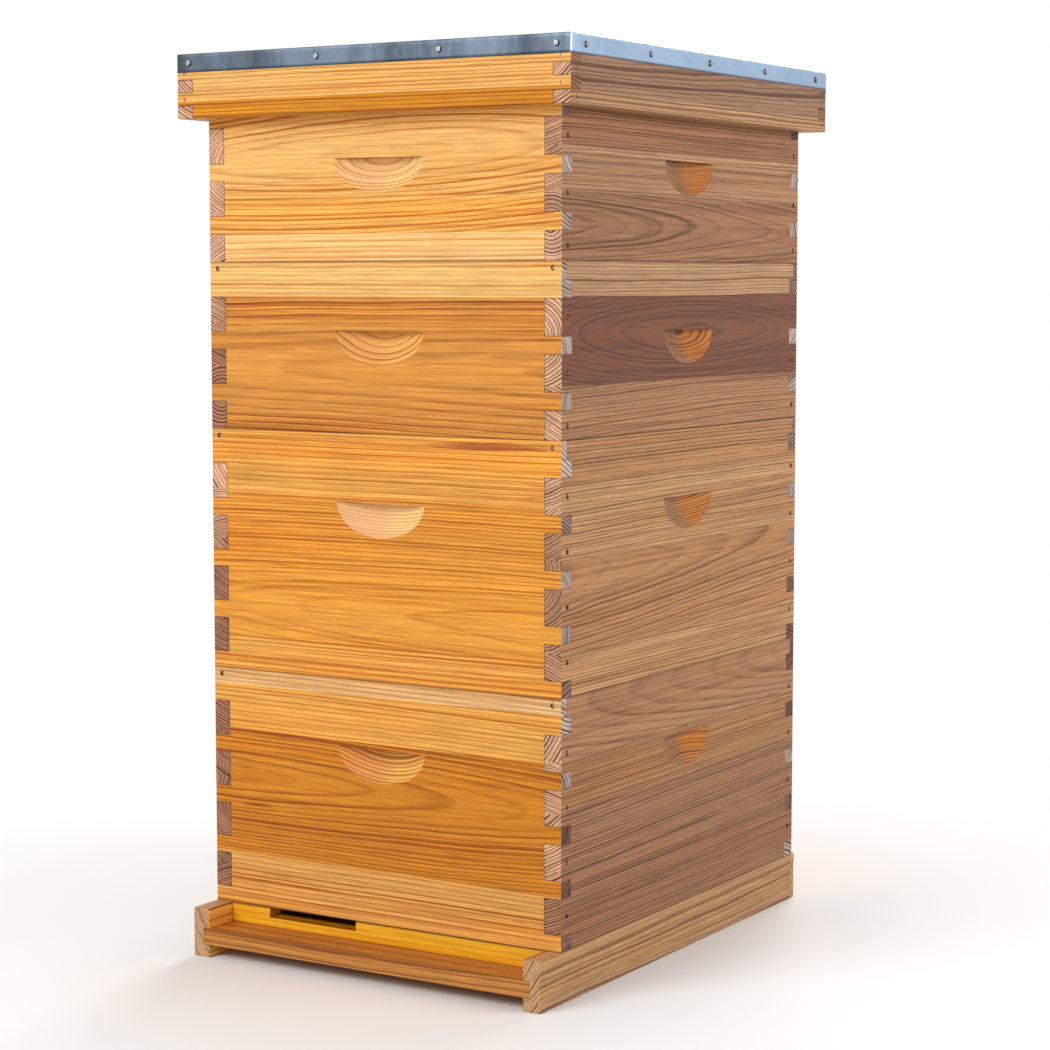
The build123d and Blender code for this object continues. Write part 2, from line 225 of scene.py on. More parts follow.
def solid_wood_group():
    """Growth rings about a leaning, sweeping pith, bent by noise, with fibres along the grain."""
    tree = bpy.data.node_groups.new("solid_wood", "ShaderNodeTree")
    for name in WOOD_INPUTS:
        tree.interface.new_socket(name, in_out="INPUT", socket_type="NodeSocketFloat")
    for name in WOOD_OUTPUTS:
        tree.interface.new_socket(name, in_out="OUTPUT", socket_type="NodeSocketFloat")
    g = Graph(tree)
    given = g.add("NodeGroupInput").outputs
    along, seed = given["Along"], given["Seed"]

    def grain_noise(run, across, detail, roughness):
        drift = g.math("MULTIPLY_ADD", along, run, seed)
        place = g.combine(drift, g.times(given["Up"], across), g.times(given["Deep"], across))
        return g.noise(place, detail, roughness)

    up = g.minus(given["Up"], g.math("MULTIPLY_ADD", along, given["Lean Up"], given["Pith Up"]))
    deep = g.minus(given["Deep"], g.math("MULTIPLY_ADD", along, given["Lean Deep"], given["Pith Deep"]))
    radius = g.math("SQRT", g.plus(g.times(up, up), g.times(deep, deep)))
    swept = g.times(given["Sweep"], g.times(along, along))
    bend = g.times(given["Wave"], g.swing(grain_noise(*BEND)))
    ripple = g.times(given["Wave"], g.swing(grain_noise(*RIPPLE), RIPPLE_SHARE))
    radius = g.plus(radius, swept, bend, ripple)
    spread = {"W": g.math("MULTIPLY_ADD", radius, WIDTH_CHANGES, seed)}
    uneven = g.add("ShaderNodeTexNoise", spread, noise_dimensions="1D").outputs[0]
    years = g.plus(g.math("DIVIDE", radius, given["Ring"]), g.times(uneven, WIDTH_SWING))
    year = g.chance(g.plus(g.math("FLOOR", years), seed))
    profile = [(place, grey(level)) for place, level in RING_PROFILE]
    rings = g.ramp(g.math("FRACT", years), profile)[0]
    result = {
        "Late": g.times(rings, g.math("MULTIPLY_ADD", g.times(year, year), YEAR_SWING, PALEST_YEAR)),
        "Rings": rings,
        "Steep": g.math("DIVIDE", g.size(up), radius),
        "Band": grain_noise(*BANDS),
        "Streak": g.fade(grain_noise(*STREAKS), *STREAK_EDGE),
        "Fibre": grain_noise(*FIBRES),
        "Fleck": g.fade(grain_noise(*FLECKS), *FLECK_EDGE),
    }
    g.add("NodeGroupOutput", result)
    return tree


SOLID_WOOD = solid_wood_group()

# One plank of a glued board. share is its part of the board's height. The pith lies at pith_up from
# the plank's middle and pith_deep behind its face, leans as it runs along, and sweeps back from the
# middle of the board by sweep times the square of the distance. Metres.
Plank = namedtuple("Plank", "share early late pith_up pith_deep ring lean_up lean_deep sweep")

# Colours where the grain is cut across, where stained tints some fingers, and in the bowl of a
# handhold: lit, in painted shade and in its rings, where share is how far they cover the board's own.
Ends = namedtuple("Ends", "early late stained")
Scoop = namedtuple("Scoop", "bright dull line share")

# How a wood is finished. drift tints broad bands, lines and bands say how clear the rings and those
# bands are, thin how narrow the rings' dark parts are, and wave how far rings wander, in metres.
Finish = namedtuple("Finish", "ends scoop drift lines thin bands wave roughness")

# A dark streak of pitch along the grain: its middle, and half its length and its height. Metres.
Pitch = namedtuple("Pitch", "along up length height")


def plank(share, colours, pith_up, pith_deep, ring, lean_up=0.0, lean_deep=0.0, sweep=0.0):
    """A plank with its lengths in millimetres, and its leans and sweep in millimetres a metre."""
    lengths = [value * MM for value in (pith_up, pith_deep, ring, lean_up, lean_deep, sweep)]
    return Plank(share, *colours, *lengths)


def plank_stops(planks, board):
    """Steps up the board, from its foot: early wood and lean up, late wood and lean in, then pith,
    ring and sweep. A ramp holds nothing below zero, so what may be negative is raised by 1."""
    early, late, pith = [], [], []
    foot = 0.0
    for piece in reversed(planks):
        middle = board.bottom + (board.top - board.bottom) * (foot + piece.share / 2)
        early.append((foot, (*paint(*piece.early)[:3], 1 + piece.lean_up)))
        late.append((foot, (*paint(*piece.late)[:3], 1 + piece.lean_deep * board.inward)))
        centre = (1 + middle + piece.pith_up, 1 + board.face + piece.pith_deep * board.inward)
        pith.append((foot, (*centre, piece.ring, 1 + piece.sweep)))
        foot += piece.share
    return early, late, pith


class Board:
    """A board's own limits, and where a point of it lies and faces as values in its material's graph."""

    def __init__(self, g, node, along, up, deep, outward):
        axes = [AXES.index(axis) for axis in (along, up, deep)]
        low, high = ([corner[index] for index in axes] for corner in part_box(node))
        self.near_end, self.bottom, _ = low
        self.far_end, self.top, _ = high
        self.face = high[2] if outward > 0 else low[2]
        self.inward = -outward
        coordinates = g.add("ShaderNodeTexCoord").outputs
        self.place, normal = g.split(coordinates["Object"]), g.split(coordinates["Normal"])
        self.along, self.up, self.deep = (self.place[axis] for axis in (along, up, deep))
        self.sunk = g.times(g.minus(self.deep, self.face), self.inward)
        self.slant = normal[along]
        self.across = g.size(normal[along])  # 1 where the grain is cut across
        self.facing = g.size(normal[deep])  # 1 on the shown face and on its back


# Masks: where each starts to show and where it shows in full. By depth below the shown face:
BOWL_START = (0.1 * MM, 0.3 * MM)
BOWL_END = (16 * MM, 15 * MM)
HOLE_START = (0.1 * MM, 0.4 * MM)
HOLE_END = (9.4 * MM, 9.0 * MM)
INNER_FACE = (16 * MM, 17 * MM)
# By distance from the board's own edges:
INSIDE_EDGES = (0.5 * MM, 0.9 * MM)
# By how squarely the surface faces along the depth, from 0 on a wall to 1 on the shown face:
FACE_SLOPE = (0.3, 0.6)
INNER_SLOPE = (0.5, 0.8)
BOWL_SLOPE = (0.35, 0.60)
WALL_SLOPE = (0.5, 0.2)
# By how squarely it cuts the grain, and on corners by the lesser of the two:
CUT_ENDS = (0.55, 0.90)
WORN_AND_HIGHLIT_CORNERS = (0.48, 0.68)

# Shades: from where to where each fades out, and how much lightness it leaves at its darkest.
EDGE_SHADE = (0.0, 1.4 * MM, 0.34)  # at the board's own edges
GLUE_SHADE = (0.0, 0.7 * MM, 0.80)  # on both sides of a glue line
JOINT_SHADE = (0.1 * MM, 1.1 * MM, 0.42)  # round the end of a finger
LEDGE_SHADE = (0.0, 2.0 * MM, 0.5)  # under the ledge of a handhold

# Painted shade on the walls of holes, ledges and notches.
PAINTED_WALL_SHADE = (0.48, 0.33, 0.22, 1)
PITCH_TINT = (0.50, 0.32, 0.26, 1)
# Painted light, lighter and more orange, on a board's inner face.
PAINTED_INNER_LIGHT = (2.1, 2.2, 1.1, 1)
# Paler corners: partly the wear of sanding, partly a painted highlight.
WEAR_AND_HIGHLIGHT_PALENESS = 1.5

STEEP_CUT = (0.0, 0.75)  # from where the face runs along the rings to where it cuts them steeply
FLAT_CUT_LINES = 0.32  # how clear rings are where the face runs along them
STREAKED_BANDS = (0.30, 0.62)
STREAKS_THERE = (0.1, 0.5)  # how clear streaks are outside those bands and in them
DRIFTED_BANDS = (0.42, 0.70)
FIBRE_TONE = 0.56
FLECK_SHARE = 0.5
FLECK_SHADE = 0.6
RELIEF = 0.3 * MM


def grain_colour(g, board, planks, finish, seed, turned):
    """The colour of a board along its grain, its early wood, and the grain itself."""
    along, up = board.along, board.up
    if turned:
        cross = turned(g, board.place)
        along, up = g.choose(cross, along, up), g.choose(cross, up, along)
    height = g.math("DIVIDE", g.minus(up, board.bottom), board.top - board.bottom)
    early_stops, late_stops, pith_stops = plank_stops(planks, board)
    early, lean_up = g.ramp(height, early_stops, "CONSTANT")
    late, lean_deep = g.ramp(height, late_stops, "CONSTANT")
    pith, sweep = g.ramp(height, pith_stops, "CONSTANT")
    pith_up, pith_deep, ring = g.split(pith)
    raised = (pith_up, pith_deep, lean_up, lean_deep, sweep)
    pith_up, pith_deep, lean_up, lean_deep, sweep = (g.plus(value, -1.0) for value in raised)
    place = (along, up, board.deep)
    values = (*place, pith_up, pith_deep, ring, lean_up, lean_deep, sweep, finish.wave, seed)
    grain = g.add("ShaderNodeGroup", dict(zip(WOOD_INPUTS, values)), node_tree=SOLID_WOOD).outputs
    clear = g.fade(grain["Steep"], *STEEP_CUT, FLAT_CUT_LINES * finish.lines, finish.lines)
    late_wood = g.times(g.math("POWER", grain["Late"], finish.thin), clear)
    streaks = g.times(grain["Streak"], g.fade(grain["Band"], *STREAKED_BANDS, *STREAKS_THERE))
    colour = g.mix(g.plus(late_wood, streaks), early, late)
    colour = g.tint(g.fade(grain["Band"], *DRIFTED_BANDS), colour, finish.drift)
    tone = g.plus(1.0, g.swing(grain["Band"], finish.bands), g.swing(grain["Fibre"], FIBRE_TONE))
    flecked = g.times(grain["Fleck"], FLECK_SHARE)
    return g.mix(flecked, g.shade(colour, tone), g.shade(late, FLECK_SHADE)), early, grain


def seam_shade(g, board, planks):
    """Dark at the board's own edges, where it meets the next board, and faint along its glue lines."""
    edge = g.math("MINIMUM", g.minus(board.up, board.bottom), g.minus(board.top, board.up))
    shade = g.fade(edge, *EDGE_SHADE)
    line = board.bottom
    for piece in reversed(planks[1:]):
        line += piece.share * (board.top - board.bottom)
        shade = g.times(shade, g.fade(g.size(g.minus(board.up, line)), *GLUE_SHADE))
    return g.choose(g.fade(board.facing, *FACE_SLOPE), 1.0, shade)


def joint_shade(g, board, joint):
    """Dark round the end of each finger, where glue and shade gather."""
    run = g.math("FLOORED_MODULO", g.minus(board.top - joint.first, board.up), joint.step)
    top_or_foot = g.math("MINIMUM", run, g.minus(joint.step, run))
    nearest = g.math("MINIMUM", g.size(g.minus(run, joint.finger)), top_or_foot)
    nearest = g.math("MINIMUM", nearest, g.size(g.minus(BOARD, board.sunk)))
    return g.fade(nearest, *JOINT_SHADE)


BROWNED = (0.4, 1.0)  # the draws from which a finger is browned and at which it is fully so
LOW_STAIN = 0.35  # how much is added to the draws near the ground
STAIN_HEIGHTS = (0.2, 0.8)  # metres up, between which that wanes to nothing
MOST_STAIN = 0.9
FAR_END = 40.0  # more than the fingers of a board, so that its two ends draw different numbers


def stain(g, board, joint, seed):
    """How brown the end grain of each finger has gone, at random and more towards the ground."""
    count = g.math("FLOOR", g.math("DIVIDE", g.minus(board.top - joint.first, board.up), joint.step))
    far_end = g.times(g.math("SIGN", board.along), FAR_END)
    lower = g.fade(board.up, *STAIN_HEIGHTS, LOW_STAIN, 0.0)
    draw = g.plus(g.chance(g.plus(count, far_end, seed)), lower)
    return g.times(g.fade(draw, *BROWNED), MOST_STAIN)


END_FIBRES = 0.4
END_BANDS = 0.5


def end_grain(g, board, ends, grain, joint, seed):
    """The cut ends of the fibres, where the rings show as arcs."""
    colour = g.mix(grain["Rings"], paint(*ends.early), paint(*ends.late))
    if joint:
        colour = g.tint(stain(g, board, joint, seed), colour, paint(*ends.stained))
        colour = g.shade(colour, joint_shade(g, board, joint))
    tone = g.plus(1.0, g.swing(grain["Fibre"], END_FIBRES), g.swing(grain["Band"], END_BANDS))
    return g.shade(colour, tone)


PAINTED_SHADE_SIDE = (-0.14, 0.08)  # how far the bowl faces the far end where it turns from its lit colour to painted shade
BOWL_LINES = 0.9
BOWL_SHARE = 0.9


def in_bowl(g, board):
    """Where a handhold's bowl slopes below the face."""
    depth = g.times(g.fade(board.sunk, *BOWL_START), g.fade(board.sunk, *BOWL_END))
    return g.times(depth, g.fade(board.facing, *BOWL_SLOPE), BOWL_SHARE)


def scooped_wood(g, board, early, scoop, grain):
    """A handhold's bowl: freshly cut, with clear rings, and with painted shade where it faces the far end and
    under its ledge.
    """
    # Painted shade: the half of the bowl that faces the far end takes a darker, duller colour.
    cut = g.mix(g.fade(board.slant, *PAINTED_SHADE_SIDE), paint(*scoop.bright), paint(*scoop.dull))
    fresh = g.mix(scoop.share, early, cut)
    ringed = g.mix(g.times(grain["Rings"], BOWL_LINES), fresh, paint(*scoop.line))
    below_ledge = g.minus(board.top - HANDHOLD_DROP, board.up)
    return g.shade(ringed, g.fade(below_ledge, *LEDGE_SHADE))


def on_walls(g, board):
    """Where painted shade darkens the walls of nail holes, ledges and notches, which lie inside the board's
    own edges.
    """
    to_end = g.math("MINIMUM", g.minus(board.along, board.near_end), g.minus(board.far_end, board.along))
    to_edge = g.math("MINIMUM", g.minus(board.up, board.bottom), g.minus(board.top, board.up))
    inside = g.fade(g.math("MINIMUM", to_end, to_edge), *INSIDE_EDGES)
    in_hole = g.times(g.fade(board.sunk, *HOLE_START), g.fade(board.sunk, *HOLE_END))
    return g.times(inside, g.times(in_hole, g.fade(board.facing, *WALL_SLOPE)))


def on_inner_face(g, board):
    """On the board's back, but not in its dado."""
    return g.times(g.fade(board.sunk, *INNER_FACE), g.fade(board.facing, *INNER_SLOPE))


def pitch_stain(g, board, streaks):
    """How far streaks of pitch darken the wood, from 0 to 1, with ragged ends."""
    along, up = board.along, board.up
    ragged = g.swing(g.noise(g.combine(g.times(along, 40.0), g.times(up, 900.0), 0.0), 3.0), 0.6)
    stained = 0.0
    for streak in streaks:
        run = g.math("DIVIDE", g.minus(along, streak.along), streak.length)
        rise = g.math("DIVIDE", g.minus(up, streak.up), streak.height)
        distance = g.math("SQRT", g.plus(g.times(run, run), g.times(rise, rise)))
        stained = g.math("MAXIMUM", stained, g.fade(g.plus(distance, ragged), 1.0, 0.3))
    return stained


def wood_surface(g, shader, grain, roughness, cut):
    """Smoother late wood, rougher cut ends, and fibres in a slight relief."""
    smoothness = g.plus(roughness, g.times(grain["Late"], -0.08), g.swing(grain["Fibre"], 0.08))
    g.feed(shader.inputs["Roughness"], g.plus(smoothness, g.times(cut, 0.2)))
    g.feed(shader.inputs["Specular IOR Level"], 0.2)
    relief = g.plus(g.times(grain["Late"], 0.5), g.times(grain["Fibre"], 0.6), g.times(grain["Streak"], 0.3))
    bump(g, shader, g.minus(relief, g.times(grain["Fleck"], 0.6)), RELIEF)


def board_material(
    node, planks, finish, along, deep, outward, seed,
    up="Z", joint=None, streaks=(), turned=None, fresh_inside=False,
):
    """A glued board whose planks are stacked along up and whose grain runs along. Its shown face looks
    along deep, towards the positive side where outward is 1. turned gives where the grain runs up
    instead, and the last flag paints light onto the board's inner face, which lies in shade, as a lighter and
    more orange tint."""
    material, g, shader = new_material(node)
    board = Board(g, node, along, up, deep, outward)
    side, early, grain = grain_colour(g, board, planks, finish, seed, turned)
    if streaks:
        side = g.tint(pitch_stain(g, board, streaks), side, PITCH_TINT)
    scooped = scooped_wood(g, board, early, finish.scoop, grain)
    side = g.mix(in_bowl(g, board), side, scooped)
    # Painted shade on the walls of holes, ledges and notches.
    side = g.tint(on_walls(g, board), side, PAINTED_WALL_SHADE)
    # Painted light: the board's inner face is made lighter and more orange.
    if fresh_inside:
        side = g.tint(on_inner_face(g, board), side, PAINTED_INNER_LIGHT)
    side = g.shade(side, seam_shade(g, board, planks))
    cut = g.fade(board.across, *CUT_ENDS)
    colour = g.mix(cut, side, end_grain(g, board, finish.ends, grain, joint, seed))
    # Paler corners: partly the wear of sanding, partly a painted highlight.
    worn_and_highlit = g.fade(g.math("MINIMUM", board.across, board.facing), *WORN_AND_HIGHLIT_CORNERS)
    g.feed(shader.inputs["Base Color"], g.shade(colour, g.fade(worn_and_highlit, 0.0, 1.0, 1.0, WEAR_AND_HIGHLIGHT_PALENESS)))
    wood_surface(g, shader, grain, finish.roughness, cut)
    return material


# ---- Planks and finishes ----

# The colours of early and late wood.
STRAW = ((255, 212, 150), (212, 152, 88))
GREY_STRAW = ((240, 192, 134), (180, 120, 66))
PALE_GOLD = ((248, 194, 112), (188, 110, 36))
HONEY = ((248, 192, 104), (190, 110, 28))
BUTTER = ((250, 200, 120), (190, 116, 44))
GOLD = ((244, 180, 86), (186, 102, 24))
DEEP_GOLD = ((246, 184, 96), (170, 96, 30))
AMBER = ((230, 156, 68), (144, 72, 14))
SMOOTH_GOLD = ((240, 166, 64), (182, 100, 20))
ORANGE = ((224, 142, 36), (152, 76, 6))
TAN = ((196, 142, 92), (122, 76, 42))
PALE_TAN = ((208, 160, 108), (134, 90, 56))
FAWN = ((186, 136, 94), (122, 80, 50))
SAND = ((192, 144, 104), (120, 80, 50))
OCHRE = ((196, 142, 90), (112, 68, 36))
BROWN = ((174, 122, 86), (100, 62, 38))
MAUVE = ((132, 81, 56), (88, 51, 35))
CREAM = ((206, 160, 116), (138, 94, 60))
COVER_AMBER = ((228, 148, 20), (160, 84, 0))
COVER_TAN = ((172, 130, 98), (100, 66, 44))
RAIL_WOOD = ((206, 158, 106), (138, 92, 56))
FLOOR_WOOD = ((210, 142, 70), (140, 82, 34))
REDUCER_WOOD = ((255, 194, 48), (232, 150, 12))
PALE_PINE = ((238, 204, 154), (200, 148, 92))

FRONT_PLANKS = {
    "super_upper": [
        plank(0.63, PALE_GOLD, -12, 34, 3.8, lean_up=26, lean_deep=8, sweep=140),
        plank(0.21, HONEY, 58, 34, 4.0, lean_up=30, lean_deep=8, sweep=140),
        plank(0.16, STRAW, 130, 60, 4.4, lean_up=8),
    ],
    "super_lower": [
        plank(0.21, BUTTER, 120, 40, 4.2, lean_up=-4),
        plank(0.79, AMBER, -3, -62, 4.2, lean_up=-8, lean_deep=14),
    ],
    "brood_upper": [
        plank(0.275, GOLD, 110, 70, 4.4, lean_up=-8),
        plank(0.585, SMOOTH_GOLD, -40, -50, 3.4, lean_up=-10, lean_deep=24, sweep=40),
        plank(0.14, GOLD, -120, 50, 4.8, lean_up=-6),
    ],
    "brood_lower": [
        plank(0.07, GREY_STRAW, 120, 60, 4.4, lean_up=-14),
        plank(0.19, GOLD, 150, 60, 4.4, lean_up=-14),
        plank(0.52, ORANGE, 16, -42, 3.2, lean_up=-10, lean_deep=-30, sweep=60),
        plank(0.22, DEEP_GOLD, -110, 40, 4.6, lean_up=-8),
    ],
}
SIDE_PLANKS = {
    "super_upper": [
        plank(0.365, BROWN, 130, 60, 3.0),
        plank(0.04, CREAM, 90, 60, 3.0),
        plank(0.215, SAND, -120, -30, 2.2),
        plank(0.38, BROWN, 2, 26, 3.6, lean_deep=52),
    ],
    "super_lower": [
        plank(0.20, CREAM, 110, 30, 3.2),
        plank(0.50, MAUVE, 6, 28, 3.4, lean_deep=-14, sweep=200),
        plank(0.30, FAWN, -100, 60, 2.8, lean_up=20),
    ],
    "brood_upper": [
        plank(0.17, TAN, 120, 60, 3.4),
        plank(0.095, PALE_TAN, 140, 60, 3.0),
        plank(0.20, PALE_TAN, 90, 60, 2.8, lean_up=10),
        plank(0.365, TAN, 34, 50, 3.2, lean_up=20, lean_deep=36),
        plank(0.17, PALE_TAN, -110, 60, 3.0),
    ],
    "brood_lower": [
        plank(0.25, FAWN, 20, 54, 4.2, lean_deep=-50),
        plank(0.21, OCHRE, -100, 30, 2.4),
        plank(0.22, BROWN, 110, 80, 3.2, lean_up=12),
        plank(0.32, BROWN, 130, 60, 2.8, lean_up=8),
    ],
}
COVER_FRONT_PLANKS = [
    plank(0.74, PALE_GOLD, 80, 30, 3.6),
    plank(0.26, COVER_AMBER, 70, 40, 3.6),
]
COVER_SIDE_PLANKS = [
    plank(0.78, COVER_TAN, 30, 50, 3.2, lean_deep=24),
    plank(0.22, CREAM, 60, 40, 3.6),
]
RAIL_PLANKS = [
    plank(0.80, RAIL_WOOD, 40, 60, 3.2, lean_up=8),
    plank(0.20, CREAM, 40, 60, 3.2),
]
FLOOR_PLANKS = [plank(0.25, FLOOR_WOOD, side, -70, 3.6) for side in (60, 20, -40, 30)]
REDUCER_PLANKS = [plank(1.0, REDUCER_WOOD, 50, 60, 3.6)]
FRAME_PLANKS = [plank(1.0, PALE_PINE, 60, 90, 3.2)]
RIM_PLANKS = [plank(1.0, PALE_PINE, 90, 140, 3.8)]

PITCH_STREAKS = {
    "brood_upper": [Pitch(0.125, 0.5300, 0.090, 5 * MM)],
    "brood_lower": [Pitch(-0.155, 0.1550, 0.024, 2.5 * MM)],
}
PINK_ENDS = Ends((230, 179, 142), (84, 43, 25), (188, 166, 156))
GREY_ENDS = Ends((206, 182, 170), (60, 42, 34), (156, 106, 82))
BROWN_ENDS = Ends((160, 116, 88), (92, 58, 40), (220, 200, 190))
RAIL_ENDS = BROWN_ENDS._replace(early=(210, 168, 126), late=(138, 92, 62))
PALE_ENDS = BROWN_ENDS._replace(early=(226, 190, 146), late=(160, 112, 74))
YELLOW_ENDS = BROWN_ENDS._replace(early=(230, 170, 60), late=(180, 120, 30))
FRONT_SCOOPS = {
    "super_upper": Scoop((255, 216, 146), (252, 200, 140), (200, 130, 70), 0.7),
    "super_lower": Scoop((255, 198, 108), (248, 180, 94), (184, 108, 46), 0.7),
    "brood_upper": Scoop((255, 220, 150), (252, 200, 150), (228, 164, 106), 0.9),
    "brood_lower": Scoop((255, 198, 100), (244, 166, 84), (164, 88, 30), 0.85),
}
BROWN_SCOOP = Scoop((226, 136, 52), (170, 122, 80), (100, 52, 20), 0.9)
PLAIN_SCOOP = Scoop((226, 190, 146), (160, 112, 74), (220, 200, 190), 0.5)
GOLDEN = Finish(
    GREY_ENDS, FRONT_SCOOPS["super_upper"], drift=(1.02, 0.86, 0.58, 1),
    lines=1.0, thin=1.0, bands=0.32, wave=5 * MM, roughness=0.50,
)
COVER_GOLDEN = GOLDEN._replace(ends=BROWN_ENDS)
BROWNISH = Finish(
    PINK_ENDS, BROWN_SCOOP, drift=(0.86, 0.80, 0.74, 1),
    lines=1.3, thin=1.5, bands=0.50, wave=6 * MM, roughness=0.52,
)
RAIL_BROWN = BROWNISH._replace(ends=RAIL_ENDS)
PLAIN = Finish(
    PALE_ENDS, PLAIN_SCOOP, drift=(0.96, 0.92, 0.86, 1),
    lines=1.0, thin=1.0, bands=0.30, wave=4 * MM, roughness=0.60,
)
VARNISHED = PLAIN._replace(ends=YELLOW_ENDS, drift=(1.0, 0.94, 0.7, 1), roughness=0.38)


# ---- Softened edges ----

WELD_DISTANCE = 0.002 * MM
SHARP_ANGLE = 16  # degrees between the faces of an edge that stays sharp
FLAT_ANGLE = 0.5  # degrees between faces that are joined into one
SANDED_ANGLE = 40  # degrees between the faces of an edge that is rounded
SANDED_WIDTH = 0.5 * MM
FACES_OF_AN_EDGE = 2


def crisp_edges_group():
    """Joins the faces of each solid in a CAD mesh and keeps as sharp only the edges that are sharp."""
    tree = bpy.data.node_groups.new("crisp_edges", "GeometryNodeTree")
    tree.interface.new_socket("Mesh", in_out="INPUT", socket_type="NodeSocketGeometry")
    tree.interface.new_socket("Mesh", in_out="OUTPUT", socket_type="NodeSocketGeometry")
    g = Graph(tree)
    given = g.add("NodeGroupInput").outputs[0]
    joined = g.add("GeometryNodeMergeByDistance", {"Geometry": given, "Distance": WELD_DISTANCE}).outputs[0]
    # Where an edge has more faces than that, two solids touch, and they stay apart.
    shared = g.more(g.add("GeometryNodeInputMeshEdgeNeighbors").outputs[0], FACES_OF_AN_EDGE)
    apart = g.add("GeometryNodeSplitEdges", {"Mesh": joined, "Selection": shared}).outputs[0]
    sharp = g.more(g.add("GeometryNodeInputMeshEdgeAngle").outputs[0], math.radians(SHARP_ANGLE))
    inputs = {"Mesh": apart, "Remove Custom": True, "Edge Sharpness": sharp}
    g.add("NodeGroupOutput", {"Mesh": g.add("GeometryNodeSetMeshNormal", inputs).outputs[0]})
    return tree


CRISP_EDGES = crisp_edges_group()


def soften(node):
    """Takes the razor edge off a board, as sanding does."""
    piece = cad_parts[node]
    piece.modifiers.new("crisp", "NODES").node_group = CRISP_EDGES
    flat = piece.modifiers.new("flat", "DECIMATE")
    flat.decimate_type = "DISSOLVE"
    flat.angle_limit = math.radians(FLAT_ANGLE)
    bevel = piece.modifiers.new("sanded", "BEVEL")
    bevel.width = SANDED_WIDTH
    bevel.segments = 2
    bevel.limit_method = "ANGLE"
    bevel.angle_limit = math.radians(SANDED_ANGLE)
    bevel.use_clamp_overlap = False
    bevel.harden_normals = True


# ---- The wooden nodes ----


def dress(node, material):
    """Gives a CAD node its material."""
    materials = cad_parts[node].data.materials
    materials.clear()
    materials.append(material)


def dress_board(node, *look, **more):
    """Gives a wooden node its material and softened edges."""
    dress(node, board_material(node, *look, **more))
    soften(node)


def dress_boxes():
    """Panels out of view take the planks of another box, so that no two walls look alike."""
    for index, box in enumerate(BOXES):
        other = BOXES[index ^ 1]
        front, back = (GOLDEN._replace(scoop=FRONT_SCOOPS[name]) for name in (box, other))
        walls = (
            ("front", FRONT_PLANKS[box], front, "X", "Y", -1),
            ("back", FRONT_PLANKS[other], back, "X", "Y", 1),
            ("left", SIDE_PLANKS[other], BROWNISH, "Y", "X", -1),
            ("right", SIDE_PLANKS[box], BROWNISH, "Y", "X", 1),
        )
        for turn, (wall, *look) in enumerate(walls):
            seed = 1.3 + 3.7 * index + 19.1 * turn  # another for each wall
            streaks = PITCH_STREAKS.get(box, ()) if wall == "front" else ()
            dress_board(f"{box}_{wall}_panel", *look, seed=seed, joint=BOX_JOINT, streaks=streaks)


STICK_WIDTH = 44 * MM  # of the inner cover's rim
END_BAR_DEPTH = 26 * MM  # from the end of a top bar to the inside of its end bar
TOP_BAR_THICKNESS = 19 * MM
GRAIN_CHANGE = 0.1 * MM  # over which the grain turns


def outer_parts(node, axis, depth):
    """Where a node's grain runs across: within the given depth of its ends along an axis."""
    low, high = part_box(node)
    index = AXES.index(axis)
    middle, reach = (low[index] + high[index]) / 2, (high[index] - low[index]) / 2 - depth
    return lambda g, place: g.fade(g.size(g.minus(place[axis], middle)), reach, reach + GRAIN_CHANGE)


def end_bars(node):
    """Where the grain of the frames runs upwards: in their end bars, under the top bars."""
    outer = outer_parts(node, "Y", END_BAR_DEPTH)
    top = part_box(node)[1].z - TOP_BAR_THICKNESS
    return lambda g, place: g.times(outer(g, place), g.fade(place["Z"], top, top - GRAIN_CHANGE))


def dress_cover_and_base():
    for wall, outward in (("front", -1), ("back", 1)):
        look = (COVER_FRONT_PLANKS, COVER_GOLDEN, "X", "Y", outward)
        dress_board(f"outer_cover_{wall}_rim", *look, seed=7.7 + outward, joint=COVER_JOINT)
    for wall, outward in (("left", -1), ("right", 1)):
        look = (COVER_SIDE_PLANKS, BROWNISH, "Y", "X", outward)
        dress_board(f"outer_cover_{wall}_rim", *look, seed=9.7 + outward, joint=COVER_JOINT)
        rail = f"bottom_board_{wall}_rail"
        dress_board(rail, RAIL_PLANKS, RAIL_BROWN, "Y", "X", outward, 5.3 + outward, fresh_inside=True)
    dress_board("bottom_board_rear_rail", RAIL_PLANKS, RAIL_BROWN, "X", "Y", 1, seed=12.3)
    dress_board("bottom_board_floor", FLOOR_PLANKS, GOLDEN, "X", "Z", 1, seed=15.3, up="Y")
    dress_board("entrance_reducer", REDUCER_PLANKS, VARNISHED, "X", "Y", -1, seed=18.3)
    dress_board("outer_cover_deck", RIM_PLANKS, PLAIN, "Y", "Z", -1, seed=21.3, up="X")
    dress_board("inner_cover_panel", RIM_PLANKS, PLAIN, "Y", "Z", 1, seed=24.3, up="X")
    sticks = outer_parts("inner_cover_rim", "Y", STICK_WIDTH)
    dress_board("inner_cover_rim", RIM_PLANKS, PLAIN, "Y", "Z", 1, seed=27.3, up="X", turned=sticks)


def dress_frames():
    """The lifted frame's side bars turn their grain where those of the other frames do."""
    for index, box in enumerate(BOXES):
        look = (FRAME_PLANKS, PLAIN, "Y", "X", 1, 30.3 + index)
        turned = end_bars(f"{box}_frames")
        dress_board(f"{box}_frames", *look, turned=turned)
        dress_board(f"{box}_lift_frame_side_bars", *look, turned=turned)
        dress_board(f"{box}_lift_frame_top_bar", *look)


# ---- Metal and wax ----

